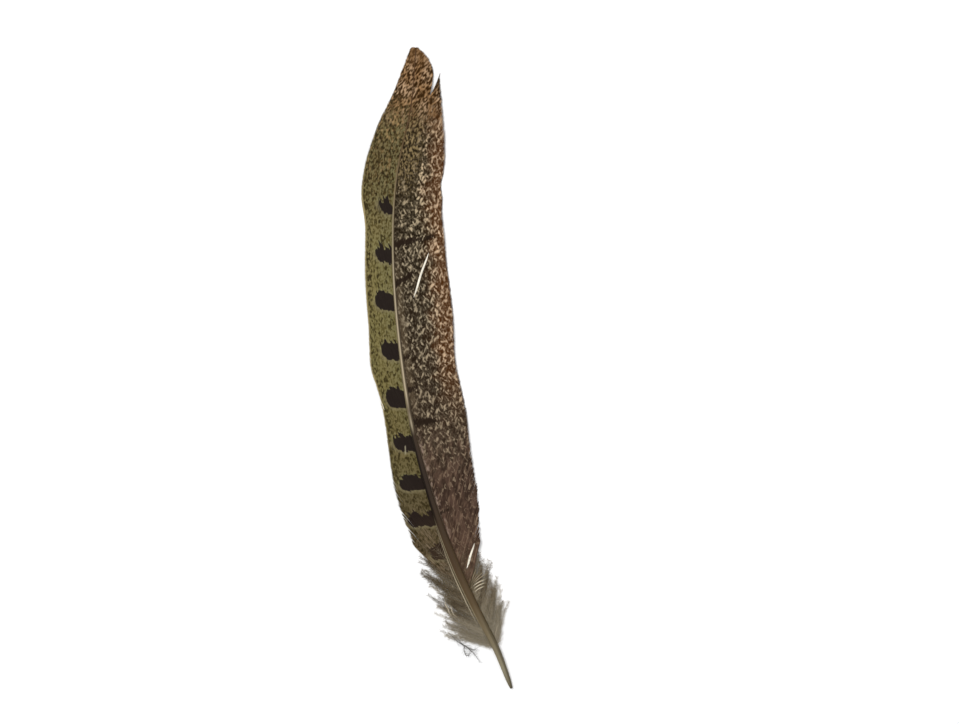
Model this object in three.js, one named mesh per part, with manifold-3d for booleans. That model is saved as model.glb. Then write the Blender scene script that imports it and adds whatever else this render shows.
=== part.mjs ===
// A pheasant tail feather, 200 mm long, lying with its upper side up.
// The quill's end points along -Y and the tip along +Y. +X is to the right seen from above, and the surface
// that it lies on is Z = 0. Stations are measured along the straight line from the quill's end to the tip, and
// laterals square to the shaft. Millimetres.
import * as THREE from "three";
import { mergeVertices } from "three/addons/utils/BufferGeometryUtils.js";
import Module from "manifold-3d";

const wasm = await Module();
wasm.setup();

// Driving dimensions
const SHAFT_END = 200.2;
const TIP = 201.2;
const LAST_ROOT = 197.4; // station of the topmost barb's root
const GAP = 0.3; // between two solids that meet
const SHAFT_SIDES = 14;
const SHAFT_RINGS = 64;
const VANE_START = 35; // station of the lowest barb that is vane and not down
const LOCKS = 36; // in each vane
const LOCK_COLUMNS = 6; // spaces along a lock
const VANE_THICKNESS = 0.55; // beside the shaft
const MARGIN_THICKNESS = 0.4;
const LOCK_RIDGE = 0.09; // a lock's middle stands this much above its sides
const SERRATION = 1.3; // a lock's sides are this much shorter than its middle
const NOTCH_ROOT = 170.6; // root station of the barb along which the inner vane is torn, near the tip
const TEAR_CLEAR = 1.0; // no other row's root stands nearer to the tear than this
const MARCH = 0.2; // step along a barb
const SLIT = { root: 115.2, from: 11.8, length: 16.4, halfWidth: 0.32, spaces: 8 };
const DOWN = { start: 15.5, locks: 9, length: 14.5, halfWidth: 1.9, halfThickness: 0.62, rings: 7, sides: 8 };

// A smooth curve through [place, value] pairs, flat beyond its ends.
function profile(...knots) {
  const last = knots.length - 1;
  const slope = (a, b) => (knots[b][1] - knots[a][1]) / (knots[b][0] - knots[a][0]);
  const slopes = knots.map((_, i) => slope(Math.max(i - 1, 0), Math.min(i + 1, last)));
  return (at) => {
    const place = THREE.MathUtils.clamp(at, knots[0][0], knots[last][0]);
    const after = knots.findIndex(([p]) => p > place);
    const i = after < 0 ? last - 1 : after - 1;
    const [p0, v0] = knots[i];
    const [p1, v1] = knots[i + 1];
    const span = p1 - p0;
    const t = (place - p0) / span;
    const rise = t * t * (3 - 2 * t);
    return v0 + (v1 - v0) * rise + span * t * (1 - t) * (slopes[i] * (1 - t) - slopes[i + 1] * t);
  };
}

// The shaft, by station: how far it bows off the straight line (to the left is negative), its half width, and
// the height of its middle
const bow = profile(
  [0, 0], [13, -2.9], [27, -7.6], [42, -11.9], [63, -16.0], [87, -18.5],
  [118, -18.15], [142, -15.9], [163, -11.5], [184, -3.9], [201, 0],
);
const shaftHalf = profile(
  [0, 0.5], [6, 0.75], [14, 1.05], [24, 1.28], [36, 1.35], [50, 1.25], [65, 1.05],
  [85, 0.78], [110, 0.58], [140, 0.42], [170, 0.3], [200, 0.15],
);
const shaftLift = profile(
  [0, 0.39], [6, 0.58], [14, 0.82], [24, 1.0], [36, 1.4], [60, 2.3], [100, 3.3],
  [140, 3.1], [172, 1.9], [200, 0.6],
);

// Each vane, by station: its width from the middle of the shaft, and the angle in degrees between a barb and
// the shaft, where the barb leaves the shaft and where it ends at the margin
const outer = {
  side: -1,
  width: profile(
    [30, 7.2], [38, 9.0], [46, 9.9], [54, 10.2], [60, 10.4], [67, 10.4], [75, 9.5], [84, 8.5],
    [92, 8.2], [99, 9.0], [105, 10.0], [112, 9.6], [118, 9.2], [130, 9.1], [146, 8.8], [151, 9.4],
    [156, 10.5], [163, 10.5], [171, 9.7], [177, 8.9], [182, 7.6], [188, 5.8], [193, 4.3], [197, 2.8],
    [200, 1.3], [201.4, 0.2],
  ),
  rootAngle: profile([35, 30], [50, 25], [80, 22], [150, 21], [185, 17], [197, 9]),
  marginAngle: profile([35, 24], [50, 19], [80, 14], [150, 13], [185, 10], [197, 4]),
};
const inner = {
  side: 1,
  width: profile(
    [30, 6.8], [38, 8.6], [46, 10.6], [53, 12.6], [60, 14.4], [68, 15.4], [77, 16.4], [86, 17.4], [95, 17.1],
    [104, 16.6], [117, 17.4], [126, 17.3], [135, 16.6], [145, 15.9], [151, 15.1], [157, 14.8], [161.5, 14.0],
    [166, 14.2], [171, 13.7], [176, 12.4], [182, 10.4], [187, 9.0], [191, 8.1], [195, 7.0],
  ),
  tornWidth: profile([180, 6.3], [188, 6.2], [193, 5.8], [196.5, 4.9], [199.2, 2.9], [201.4, 0.3]),
  rootAngle: profile([35, 44], [50, 38], [80, 33], [130, 30], [165, 25], [185, 19], [197, 9]),
  marginAngle: profile([35, 36], [50, 28], [80, 21], [130, 19], [165, 14], [185, 10], [197, 5]),
};
const ANGLE_SETTLES = 7; // length over which a barb turns from one angle towards the other

// How far a margin stands off the surface: it touches at both ends and between its waves
const marginRise = (station, side) => 0.45 * Math.sin(station / 11 + side) ** 2;

// The point at a station and lateral on one side, seen from above.
function plan(station, lateral, side) {
  const slope = (bow(station + 0.05) - bow(station - 0.05)) / 0.1;
  const length = Math.hypot(1, slope);
  return [bow(station) + (side * lateral) / length, station - (side * lateral * slope) / length];
}

// The middle of the vane's thickness: highest beside the shaft, and down to the surface at the margin.
function vaneHeight(station, lateral, side, width) {
  const top = shaftLift(station) + 0.1 * shaftHalf(station);
  const foot = MARGIN_THICKNESS / 2 + Math.min(marginRise(station, side), 0.5 * top);
  const across = Math.min(lateral / Math.max(width, 0.1), 1);
  return foot + Math.max(top - foot, 0) * (1 - across ** 1.5);
}

// A barb's line from beside the shaft to the margin, as [station, lateral] pairs MARCH apart
function barb(vane, root) {
  const width = vane.tornWidth && root > NOTCH_ROOT ? vane.tornWidth : vane.width;
  const atRoot = vane.rootAngle(root);
  const atMargin = vane.marginAngle(root);
  const line = [];
  let station = root;
  let lateral = shaftHalf(root) + GAP;
  while (lateral < width(station) && station < TIP) {
    const run = line.push([station, lateral]) * MARCH;
    const turned = 1 - Math.exp(-run / ANGLE_SETTLES);
    const angle = THREE.MathUtils.degToRad(THREE.MathUtils.lerp(atRoot, atMargin, turned));
    station += MARCH * Math.cos(angle);
    lateral += MARCH * Math.sin(angle);
  }
  return line;
}

// The same line cut short by some millimetres, as a number of equal spaces
function spacedBarb(vane, root, spaces, shorter = 0) {
  const line = barb(vane, root);
  const last = line.length - 1 - shorter / MARCH;
  return Array.from({ length: spaces + 1 }, (_, i) => {
    const place = Math.max((last * i) / spaces, 0);
    const low = Math.min(Math.floor(place), line.length - 2);
    return [0, 1].map((k) => THREE.MathUtils.lerp(line[low][k], line[low + 1][k], place - low));
  });
}

// A closed solid from a grid of upper points and the lower points under them.
function slab(upper, lower, flip) {
  const rows = upper.length;
  const columns = upper[0].length;
  const index = [];
  const at = (row, column, under = 0) => under * rows * columns + row * columns + column;
  const quad = (a, b, c, d) => index.push(...(flip ? [a, c, b, a, d, c] : [a, b, c, a, c, d]));
  for (let r = 0; r < rows - 1; r++) {
    for (let c = 0; c < columns - 1; c++) {
      quad(at(r, c), at(r, c + 1), at(r + 1, c + 1), at(r + 1, c));
      quad(at(r, c, 1), at(r + 1, c, 1), at(r + 1, c + 1, 1), at(r, c + 1, 1));
    }
    quad(at(r, 0), at(r + 1, 0), at(r + 1, 0, 1), at(r, 0, 1));
    quad(at(r, columns - 1), at(r, columns - 1, 1), at(r + 1, columns - 1, 1), at(r + 1, columns - 1));
  }
  for (let c = 0; c < columns - 1; c++) {
    quad(at(0, c), at(0, c, 1), at(0, c + 1, 1), at(0, c + 1));
    quad(at(rows - 1, c), at(rows - 1, c + 1), at(rows - 1, c + 1, 1), at(rows - 1, c, 1));
  }
  const geometry = new THREE.BufferGeometry().setFromPoints([...upper.flat(), ...lower.flat()]);
  return geometry.setIndex(index);
}

// A closed solid through rings of points, each ring in the same turning order.
function loft(rings) {
  const sides = rings[0].length;
  const points = rings.flat();
  const index = [];
  for (let r = 0; r < rings.length - 1; r++) {
    for (let s = 0; s < sides; s++) {
      const a = r * sides + s;
      const b = r * sides + ((s + 1) % sides);
      index.push(a, b, b + sides, a, b + sides, a + sides);
    }
  }
  for (const [ring, turn] of [[0, 1], [rings.length - 1, 0]]) {
    const middle = points.push(new THREE.Vector3()) - 1;
    rings[ring].forEach((p) => points[middle].addScaledVector(p, 1 / sides));
    for (let s = 0; s < sides; s++) {
      const pair = [ring * sides + s, ring * sides + ((s + 1) % sides)];
      index.push(middle, pair[turn], pair[1 - turn]);
    }
  }
  return new THREE.BufferGeometry().setFromPoints(points).setIndex(index);
}

// manifold-3d solids from closed geometry, and back
function toSolid(geometry) {
  const bare = geometry.clone();
  bare.deleteAttribute("normal");
  bare.deleteAttribute("uv");
  const merged = mergeVertices(bare, 1e-4);
  const vertProperties = new Float32Array(merged.attributes.position.array);
  const triVerts = new Uint32Array(merged.index.array);
  return new wasm.Manifold(new wasm.Mesh({ numProp: 3, vertProperties, triVerts }));
}

function toGeometry(solid) {
  const mesh = solid.getMesh();
  return new THREE.BufferGeometry()
    .setAttribute("position", new THREE.BufferAttribute(new Float32Array(mesh.vertProperties), 3))
    .setIndex(new THREE.BufferAttribute(new Uint32Array(mesh.triVerts), 1));
}

// The shaft: a round quill that turns into the squarer rachis, flat underneath where it lies on the surface
function shaft() {
  const squareness = profile([0, 1], [30, 1], [60, 0.72], [200, 0.66]);
  const rings = [];
  for (let i = 0; i <= SHAFT_RINGS; i++) {
    const station = SHAFT_END * (i / SHAFT_RINGS) ** 1.05;
    const half = shaftHalf(station) * (i === 0 ? 0.72 : 1);
    const power = squareness(station);
    rings.push(Array.from({ length: SHAFT_SIDES }, (_, s) => {
      const turn = (2 * Math.PI * (s + 0.5)) / SHAFT_SIDES - Math.PI / 2;
      const across = Math.sign(Math.cos(turn)) * Math.abs(Math.cos(turn)) ** power * half;
      const up = Math.sign(Math.sin(turn)) * Math.abs(Math.sin(turn)) ** power * half;
      const [x, y] = plan(station, across, 1);
      return new THREE.Vector3(x, y, Math.max(shaftLift(station) + up, 0));
    }).reverse());
  }
  return loft(rings);
}

// One vane: barbs zipped into locks that show as ridges and as a serrated margin
function vane(form) {
  const count = 2 * LOCKS;
  const all = Array.from({ length: count + 1 }, (_, i) => ({
    root: THREE.MathUtils.lerp(VANE_START, LAST_ROOT, i / count),
    middle: i % 2 === 1,
    last: i === count,
  }));
  const rows = form.tornWidth ? tear(all) : all;
  const upper = [];
  const lower = [];
  for (const { root, middle, last } of rows) {
    const ridge = (middle ? LOCK_RIDGE : -LOCK_RIDGE) / 2;
    const line = spacedBarb(form, root, LOCK_COLUMNS, middle || last ? 0 : SERRATION);
    const points = line.map(([station, lateral], column) => {
      const share = column / LOCK_COLUMNS;
      const half = THREE.MathUtils.lerp(VANE_THICKNESS, MARGIN_THICKNESS, share) / 2;
      const z = vaneHeight(station, lateral, form.side, form.width(station)) + ridge * Math.min(4 * share, 1);
      return { at: plan(station, lateral, form.side), z, half };
    });
    upper.push(points.map(({ at, z, half }) => new THREE.Vector3(...at, z + half)));
    lower.push(points.map(({ at, z, half }) => new THREE.Vector3(...at, Math.max(z - half, 0))));
  }
  return slab(upper, lower, form.side < 0);
}

// Two rows side by side, one on each side of the tear, take the place of the row that is nearest to it.
function tear(rows) {
  const kept = rows.filter(({ root }) => Math.abs(root - NOTCH_ROOT) > TEAR_CLEAR);
  const sides = [-0.1, 0.1].map((offset) => ({ root: NOTCH_ROOT + offset, middle: true }));
  return [...kept, ...sides].sort((a, b) => a.root - b.root);
}

// The narrow slit in the inner vane, where two barbs have come unzipped: a cutter that runs along them
function slit() {
  const line = barb(inner, SLIT.root);
  const at = (share) => line[Math.round((SLIT.from + SLIT.length * share) / MARCH)];
  const edge = (side) => Array.from({ length: SLIT.spaces - 1 }, (_, i) => {
    const share = (i + 1) / SLIT.spaces;
    const [station, lateral] = at(share);
    return plan(station, lateral + side * SLIT.halfWidth * Math.sin(Math.PI * share), inner.side);
  });
  const [low, high] = [0, 1].map((share) => plan(...at(share), inner.side));
  return prism([low, ...edge(1), high, ...edge(-1).reverse()]);
}

// An upright prism taller than the feather, on an outline seen from above
function prism(outline) {
  const shape = new THREE.Shape(outline.map(([x, y]) => new THREE.Vector2(x, y)));
  return new THREE.ExtrudeGeometry(shape, { depth: 12, bevelEnabled: false }).translate(0, 0, -1);
}

// One lock of down: a flat tongue that leaves the shaft, spreads, droops to the surface and ends in a point
function downLock(side, { root, angle, turn, length, lift }) {
  const rings = [];
  let station = root;
  let lateral = shaftHalf(root) + GAP;
  for (let i = 0; i <= DOWN.rings; i++) {
    const share = i / DOWN.rings;
    const heading = THREE.MathUtils.degToRad(angle + turn * share * share);
    const swell = 0.55 + 0.45 * Math.sin(Math.PI * Math.min(share + 0.25, 1));
    const half = DOWN.halfWidth * swell * (1 - share ** 3) + 0.2;
    const thick = DOWN.halfThickness * (1 - 0.6 * share);
    const height = thick + (shaftLift(root) - thick) * (1 - share) ** 1.4 + lift * Math.sin(Math.PI * share);
    const inward = i === 0 ? 0 : Math.cos(heading); // the root end is cut in line with the shaft
    const ring = Array.from({ length: DOWN.sides }, (_, s) => {
      const around = (2 * Math.PI * (s + 0.5)) / DOWN.sides;
      const swing = Math.cos(around) * half;
      const at = plan(station + swing * Math.sin(heading), lateral - swing * inward, side);
      return new THREE.Vector3(...at, Math.max(height + Math.sin(around) * thick, 0.02));
    });
    rings.push(side < 0 ? ring.reverse() : ring);
    station += (length / DOWN.rings) * Math.cos(heading);
    lateral += (length / DOWN.rings) * Math.sin(heading);
  }
  return loft(rings);
}

// The downy tuft on one side: locks from the bare quill up, joined where they overlap, cut off along the vane
function down(form) {
  const locks = Array.from({ length: DOWN.locks }, (_, i) => {
    const share = i / (DOWN.locks - 1);
    return toSolid(downLock(form.side, {
      root: DOWN.start + (VANE_START - 1.5 - DOWN.start) * share,
      angle: 62 - 26 * share - 5 * form.side * Math.sin(3.1 * i),
      turn: 20 - 30 * share + 9 * Math.cos(2.3 * i),
      length: DOWN.length * (0.8 + 0.35 * share) * (1 - 0.12 * (i % 2)),
      lift: 0.5 + 0.5 * Math.sin(1.7 * i) ** 2,
    }));
  });
  const border = spacedBarb(form, VANE_START - 2 * GAP, 12, -3);
  const beyond = [[80, 30], [80, -0.5], [VANE_START - 2 * GAP, -0.5]];
  const vaneSide = prism([...border, ...beyond].map(([station, lateral]) => plan(station, lateral, form.side)));
  return toGeometry(locks.reduce((all, lock) => all.add(lock)).subtract(toSolid(vaneSide)));
}

const colours = { horn: 0x6a5540, olive: 0x6b5f3d, brown: 0x5c4b38, grey: 0x8d8272 };

function piece(name, geometry, colour, roughness) {
  const flat = geometry.toNonIndexed();
  flat.computeVertexNormals();
  const mesh = new THREE.Mesh(flat, new THREE.MeshStandardMaterial({ color: colour, roughness, metalness: 0 }));
  mesh.name = name;
  return mesh;
}

const feather = new THREE.Group();
feather.add(
  piece("shaft", shaft(), colours.horn, 0.4),
  piece("outer_vane", vane(outer), colours.olive, 0.7),
  piece("inner_vane", toGeometry(toSolid(vane(inner)).subtract(toSolid(slit()))), colours.brown, 0.7),
  piece("outer_down", down(outer), colours.grey, 0.9),
  piece("inner_down", down(inner), colours.grey, 0.9),
);

// The frame: the middle of the feather's extent from above is the origin, on the surface it lies on.
const extent = new THREE.Box3().setFromObject(feather);
const middle = extent.getCenter(new THREE.Vector3());
feather.position.set(-middle.x, -middle.y, -extent.min.z);

export default feather;
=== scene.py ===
# A pheasant tail feather lying on a pale surface, seen from above. Lengths are in millimetres until a mesh
# is made. A station is measured along the straight line from the quill's end to the tip, and a lateral
# square to the shaft, to the feather's left on the outer vane and right on the inner.
import math

import bpy
import numpy as np
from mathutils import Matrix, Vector


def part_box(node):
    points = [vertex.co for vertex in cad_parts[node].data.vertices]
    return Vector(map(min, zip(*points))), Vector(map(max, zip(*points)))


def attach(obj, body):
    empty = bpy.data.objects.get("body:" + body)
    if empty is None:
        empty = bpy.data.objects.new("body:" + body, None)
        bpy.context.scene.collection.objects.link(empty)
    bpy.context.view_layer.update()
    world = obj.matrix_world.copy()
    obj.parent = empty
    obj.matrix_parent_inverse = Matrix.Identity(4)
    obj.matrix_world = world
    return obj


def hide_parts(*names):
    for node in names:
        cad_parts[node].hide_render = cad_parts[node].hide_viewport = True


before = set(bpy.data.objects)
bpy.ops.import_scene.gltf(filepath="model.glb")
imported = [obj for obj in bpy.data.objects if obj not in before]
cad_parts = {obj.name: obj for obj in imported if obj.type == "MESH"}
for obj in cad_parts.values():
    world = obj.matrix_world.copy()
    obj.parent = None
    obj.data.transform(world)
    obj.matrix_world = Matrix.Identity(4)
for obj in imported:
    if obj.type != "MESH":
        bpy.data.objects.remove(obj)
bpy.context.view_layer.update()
chance = np.random.default_rng(416)

MM = 0.001
TIP = 201.3
VANE_START = 35.0
LAST_ROOT = 199.8


# Smooth curves through [place, value] pairs, flat beyond their ends
def profile(*knots):
    place, value = np.array(knots, float).T
    slope = np.empty_like(value)
    slope[1:-1] = (value[2:] - value[:-2]) / (place[2:] - place[:-2])
    slope[[0, -1]] = (value[[1, -1]] - value[[0, -2]]) / (place[[1, -1]] - place[[0, -2]])

    def at(where):
        where = np.clip(np.asarray(where, float), place[0], place[-1])
        i = np.clip(np.searchsorted(place, where, "right") - 1, 0, len(place) - 2)
        span = place[i + 1] - place[i]
        t = (where - place[i]) / span
        rise = t * t * (3 - 2 * t)
        bend = span * t * (1 - t) * (slope[i] * (1 - t) - slope[i + 1] * t)
        return value[i] + (value[i + 1] - value[i]) * rise + bend

    return at


# The shaft, by station: how far it bows off the straight line, its half width, and its middle's height
bow = profile(
    [0, 0], [13, -2.9], [27, -7.6], [42, -11.9], [63, -16.0], [87, -18.5],
    [118, -18.15], [142, -15.9], [163, -11.5], [184, -3.9], [201, 0],
)
shaft_half = profile(
    [0, 0.62], [6, 0.88], [14, 1.1], [24, 1.28], [36, 1.35], [50, 1.25], [65, 1.05],
    [85, 0.78], [110, 0.56], [140, 0.4], [170, 0.26], [200, 0.12],
)
shaft_lift = profile(
    [0, 0.39], [6, 0.58], [14, 0.82], [24, 1.0], [36, 1.4], [60, 2.3], [100, 3.3],
    [140, 3.1], [172, 1.9], [200, 0.6],
)


def plan(station, lateral, side):
    """The point at a station and lateral on one side, seen from above, as x and y."""
    slope = (bow(station + 0.05) - bow(station - 0.05)) / 0.1
    length = np.hypot(1, slope)
    return bow(station) + side * lateral / length, station - side * lateral * slope / length


# The quill's end in the frame that all pieces share
low_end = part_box("shaft")[0].y + MM
end_ring = [v.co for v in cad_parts["shaft"].data.vertices if v.co.y < low_end]
quill_end = sum(end_ring, Vector()) / len(end_ring)


def place(station, lateral, side, height):
    """The same point in the shared frame, in metres."""
    x, y = plan(station, lateral, side)
    return np.stack([quill_end.x + x * MM, quill_end.y + y * MM, height * MM], axis=-1)


# The two vanes, by station: width from the middle of the shaft, and the barbs' angles at the shaft and at
# the margin. Barbs that grow above torn_root end at torn_width, which leaves the notch.
class Vane:
    def __init__(self, name, side, width, root_angle, margin_angle, torn_width=None, torn_root=None):
        self.name = name
        self.side = side
        self.width = width
        self.root_angle = root_angle
        self.margin_angle = margin_angle
        self.torn_width = torn_width
        self.torn_root = torn_root


outer = Vane(
    "outer_barbs", -1,
    profile(
        [30, 7.2], [38, 9.0], [46, 9.9], [54, 10.2], [60, 10.4], [67, 10.4], [75, 9.5], [84, 8.5],
        [92, 8.2], [99, 9.0], [105, 10.0], [112, 9.6], [118, 9.2], [130, 9.1], [146, 8.8], [151, 9.4],
        [156, 10.5], [163, 10.5], [171, 9.7], [177, 8.9], [182, 7.6], [188, 5.8], [193, 4.3], [197, 2.9],
        [200, 2.0], [201.2, 1.3], [202, 0.3],
    ),
    profile([35, 30], [50, 25], [80, 22], [150, 21], [185, 17], [196, 9], [200, 2]),
    profile([35, 24], [50, 19], [80, 14], [150, 13], [185, 10], [196, 4], [200, 1]),
)
inner = Vane(
    "inner_barbs", 1,
    profile(
        [30, 6.8], [38, 8.6], [46, 10.6], [53, 12.6], [60, 14.4], [68, 15.4], [77, 16.4], [86, 17.4],
        [95, 17.1], [104, 16.6], [117, 17.4], [126, 17.3], [135, 16.6], [145, 15.9], [151, 15.1],
        [157, 14.8], [161.5, 14.0], [166, 14.2], [171, 13.7], [176, 12.4], [182, 10.4], [187, 9.0],
        [191, 8.1], [195, 7.0],
    ),
    profile([35, 44], [50, 38], [80, 33], [130, 30], [165, 25], [185, 19], [196, 9], [200, 2]),
    profile([35, 36], [50, 28], [80, 21], [130, 19], [165, 14], [185, 10], [196, 5], [200, 1]),
    torn_width=profile(
        [180, 7.2], [188.4, 7.2], [190, 6.85], [192, 6.35], [193.5, 6.1], [196.5, 5.1], [198.8, 3.6],
        [200.2, 2.0], [201, 0.9], [202, 0.2],
    ),
    torn_root=170.6,
)
ANGLE_SETTLES = 7.0  # length over which a barb turns from one angle towards the other
MARGIN_THICKNESS = 0.4
MARGIN_RISE = 0.45
MARGIN_WAVE = 11.0

def fade(value, start, stop):
    """0 at start and before it, 1 at stop and beyond it, and even between. It may run downwards."""
    return np.clip((value - start) / (stop - start), 0, 1)

def margin_rise(station, side):
    """How far the margin stands off the surface, in slow waves."""
    return MARGIN_RISE * np.sin(station / MARGIN_WAVE + side) ** 2

def vane_height(station, lateral, vane):
    """The middle of the vane's thickness: highest beside the shaft, down to the surface at the margin."""
    top = shaft_lift(station) + 0.1 * shaft_half(station)
    foot = MARGIN_THICKNESS / 2 + np.minimum(margin_rise(station, vane.side), 0.5 * top)
    across = np.clip(lateral / np.maximum(vane.width(station), 0.1), 0, 1)
    return foot + np.maximum(top - foot, 0) * (1 - across**1.5)


# Meshes from many strands at once
UPWARDS = np.array([0.0, 0.0, 1.0])

def unit(vectors):
    return vectors / np.maximum(np.linalg.norm(vectors, axis=-1, keepdims=True), 1e-12)

class Strands:
    """Many tubes: points, four-sided walls, lists of end caps, and fields with a value for each point."""

    def __init__(self, name, points, walls, caps, fields):
        self.name = name
        self.points = points
        self.walls = walls
        self.caps = caps
        self.fields = fields

    def joined(self, other):
        start = len(self.points)
        return Strands(
            self.name,
            np.concatenate([self.points, other.points]),
            np.concatenate([self.walls, other.walls + start]),
            self.caps + [caps + start for caps in other.caps],
            {key: np.concatenate([self.fields[key], other.fields[key]]) for key in self.fields},
        )

def closed(name, points, fields):
    """Closed tubes from points, strands x rings x sides x 3, and fields that spread over them."""
    strands, rings, sides, _ = points.shape
    index = np.arange(strands * rings * sides).reshape(strands, rings, sides)
    after = np.roll(index, -1, axis=2)
    walls = np.stack([index[:, :-1], after[:, :-1], after[:, 1:], index[:, 1:]], axis=-1).reshape(-1, 4)
    caps = np.concatenate([index[:, 0, ::-1], index[:, -1]])
    values = {key: np.broadcast_to(value, index.shape).reshape(-1) for key, value in fields.items()}
    each = rings * sides
    points = points.reshape(-1, 3)
    corners = points[walls]
    normal = np.cross(corners[:, 1] - corners[:, 0], corners[:, 2] - corners[:, 0])
    middles = points.reshape(-1, each, 3).mean(axis=1)[walls[:, 0] // each]
    if np.sum(normal * (corners.mean(axis=1) - middles)) < 0:
        walls = walls[:, ::-1]
        caps = caps[:, ::-1]
    return Strands(name, points, walls, [caps], values)

def tubes(name, centres, half_width, half_height, section, fields, tilt=0.0):
    """One mesh of closed tubes. centres is strands x rings x 3, in metres, and the halves strands x rings.
    section lists (across, up) corners, tilt turns it about the strand, and fields are values by ring."""
    along = unit(np.gradient(centres, axis=1))
    across = unit(np.cross(along, UPWARDS))
    up = np.cross(across, along)
    side = across * np.cos(tilt) + up * np.sin(tilt)
    top = up * np.cos(tilt) - across * np.sin(tilt)
    corners = [
        centres + a * half_width[..., None] * side + u * half_height[..., None] * top for a, u in section
    ]
    values = {key: np.asarray(value, float)[..., None] for key, value in fields.items()}
    return closed(name, np.stack(corners, axis=2), values)

def build(strands, smooth):
    """A Blender object from strands."""
    mesh = bpy.data.meshes.new(strands.name)
    groups = [strands.walls] + strands.caps
    loops = np.concatenate([group.reshape(-1) for group in groups])
    sizes = np.concatenate([np.full(len(group), group.shape[1]) for group in groups])
    mesh.vertices.add(len(strands.points))
    mesh.vertices.foreach_set("co", strands.points.reshape(-1).astype(np.float32))
    mesh.loops.add(len(loops))
    mesh.loops.foreach_set("vertex_index", loops.astype(np.int32))
    mesh.polygons.add(len(sizes))
    mesh.polygons.foreach_set("loop_start", np.concatenate([[0], np.cumsum(sizes)[:-1]]).astype(np.int32))
    mesh.polygons.foreach_set("use_smooth", np.full(len(sizes), smooth))
    for key, value in strands.fields.items():
        mesh.attributes.new(key, "FLOAT", "POINT").data.foreach_set("value", value.astype(np.float32))
    mesh.update(calc_edges=True)
    mesh.validate()
    piece = bpy.data.objects.new(strands.name, mesh)
    bpy.context.scene.collection.objects.link(piece)
    return piece


# Barbs
BARB_SPACING = 0.5
BARB_RINGS = 34
MARCH = 0.2
LONGEST_BARB = 60.0
ROOT_JITTER = 0.06
ROOT_GAP = 0.3  # how far from the shaft the root stations are counted
ROOT_DEPTH = 0.65  # where a barb starts, as a share of the shaft's half width
TIP_DEPTH = 0.15  # the same at the tip
TIP_FROM = 192.0
NARROWEST = 9.0  # the least angle between a barb's root and the shaft
LOOSE_FROM = 56.0  # below this station the barbs loosen
LOOSE_ALL = 32.0
LOCK_SIZES = (4, 11)  # how many barbs hook together
TUFT_SIZES = (2, 5)  # how many barbs are jagged alike where a spot ends
END_GAP = 0.1  # how far short of the margin a barb ends, and how much more by chance, by lock and when loose
END_BY_BARB = 0.14
END_BY_LOCK = 0.12
END_WHEN_LOOSE = 1.8
SHORTEST = 0.3
LOWEST = 0.12
COVER = 0.86  # a barb's half width beside its distance to the next, so that neighbours overlap
LEAST_COVER = 0.19
TILT = 0.16  # how far barbs are turned about themselves, so that they lie like roof tiles
DIAMOND = [(-1, 0), (0, 1), (1, 0), (0, -1)]

def march(vane, roots):
    """Barb lines from the shaft to the margin: station and lateral every MARCH, and each barb's length."""
    torn = (roots > vane.torn_root) if vane.torn_width else np.zeros(len(roots), bool)
    at_root = vane.root_angle(roots)
    at_margin = vane.margin_angle(roots)
    depth = ROOT_DEPTH + (TIP_DEPTH - ROOT_DEPTH) * fade(roots, TIP_FROM, TIP_FROM + 6)
    lateral = depth * shaft_half(roots)
    leaving = np.radians(np.maximum(at_root, NARROWEST))
    station = roots - (shaft_half(roots) + ROOT_GAP - lateral) / np.tan(leaving)
    growing = np.ones(len(roots), bool)
    stations, laterals, length = [station], [lateral], np.zeros(len(roots))
    for step in range(int(LONGEST_BARB / MARCH)):
        angle = np.radians(at_margin + (at_root - at_margin) * np.exp(-step * MARCH / ANGLE_SETTLES))
        width = vane.width(station)
        if vane.torn_width:
            width = np.where(torn, vane.torn_width(station), width)
        growing &= (lateral < width) & (station < TIP)
        station = station + growing * MARCH * np.cos(angle)
        lateral = lateral + growing * MARCH * np.sin(angle)
        length += growing * MARCH
        stations.append(station)
        laterals.append(lateral)
    return np.array(stations).T, np.array(laterals).T, length

def sample(lines, run):
    """The values on the lines of march, at these lengths along them."""
    place_at = run / MARCH
    low = np.clip(np.floor(place_at).astype(int), 0, lines.shape[1] - 2)
    part = place_at - low
    row = np.arange(len(lines))[:, None]
    return lines[row, low] * (1 - part) + lines[row, low + 1] * part

def locks_of(count, least, most):
    """Numbers barbs into locks of a few barbs that hook together."""
    sizes = []
    while sum(sizes) < count:
        sizes.append(chance.integers(least, most + 1))
    return np.repeat(np.arange(len(sizes)), sizes)[:count]

# Splits between barbs: side, root station, run along the barb where it opens and closes, half opening, and
# how many mm of roots are pushed together beside it. One that closes beyond the margin is open there.
SPLITS = [
    (1, 114.2, 12.0, 27.8, 0.42, 1.8),
    (1, 170.6, 17.4, 33.0, 0.88, 2.2),
    (-1, 70.6, 22.6, 40.0, 0.22, 1.2),
    (1, 36.9, 2.2, 12.0, 0.45, 2.0),
]
# Barbs that have turned on edge in a split and show their pale side, painted near white so that they also
# stand in for the bright surface seen through the split, which is painted light: side, root, from run, to
# run, half width
TURNED_BARBS_AND_PAINTED_LIGHT = [
    (1, 114.2, 12.2, 27.6, 0.34),
    (-1, 70.6, 23.4, 60.0, 0.1),
    (1, 36.9, 2.6, 11.6, 0.38),
]

def opened(vane, roots, run, angle):
    """How far the splits near each barb push it aside, as station and lateral."""
    push = np.zeros(run.shape)
    for side, root, start, stop, half, reach in SPLITS:
        if side == vane.side:
            away = (roots - root)[:, None]
            share = np.sign(away) * np.exp(-np.abs(away) / reach)
            push += share * half * np.sin(np.pi * fade(run, start, stop))
    return push * np.sin(angle), -push * np.cos(angle)

def loose(station):
    """How far the barbs at a station are from lying in one smooth vane: 1 among the down, 0 well above it."""
    return fade(station, LOOSE_FROM, LOOSE_ALL) ** 1.5

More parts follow.
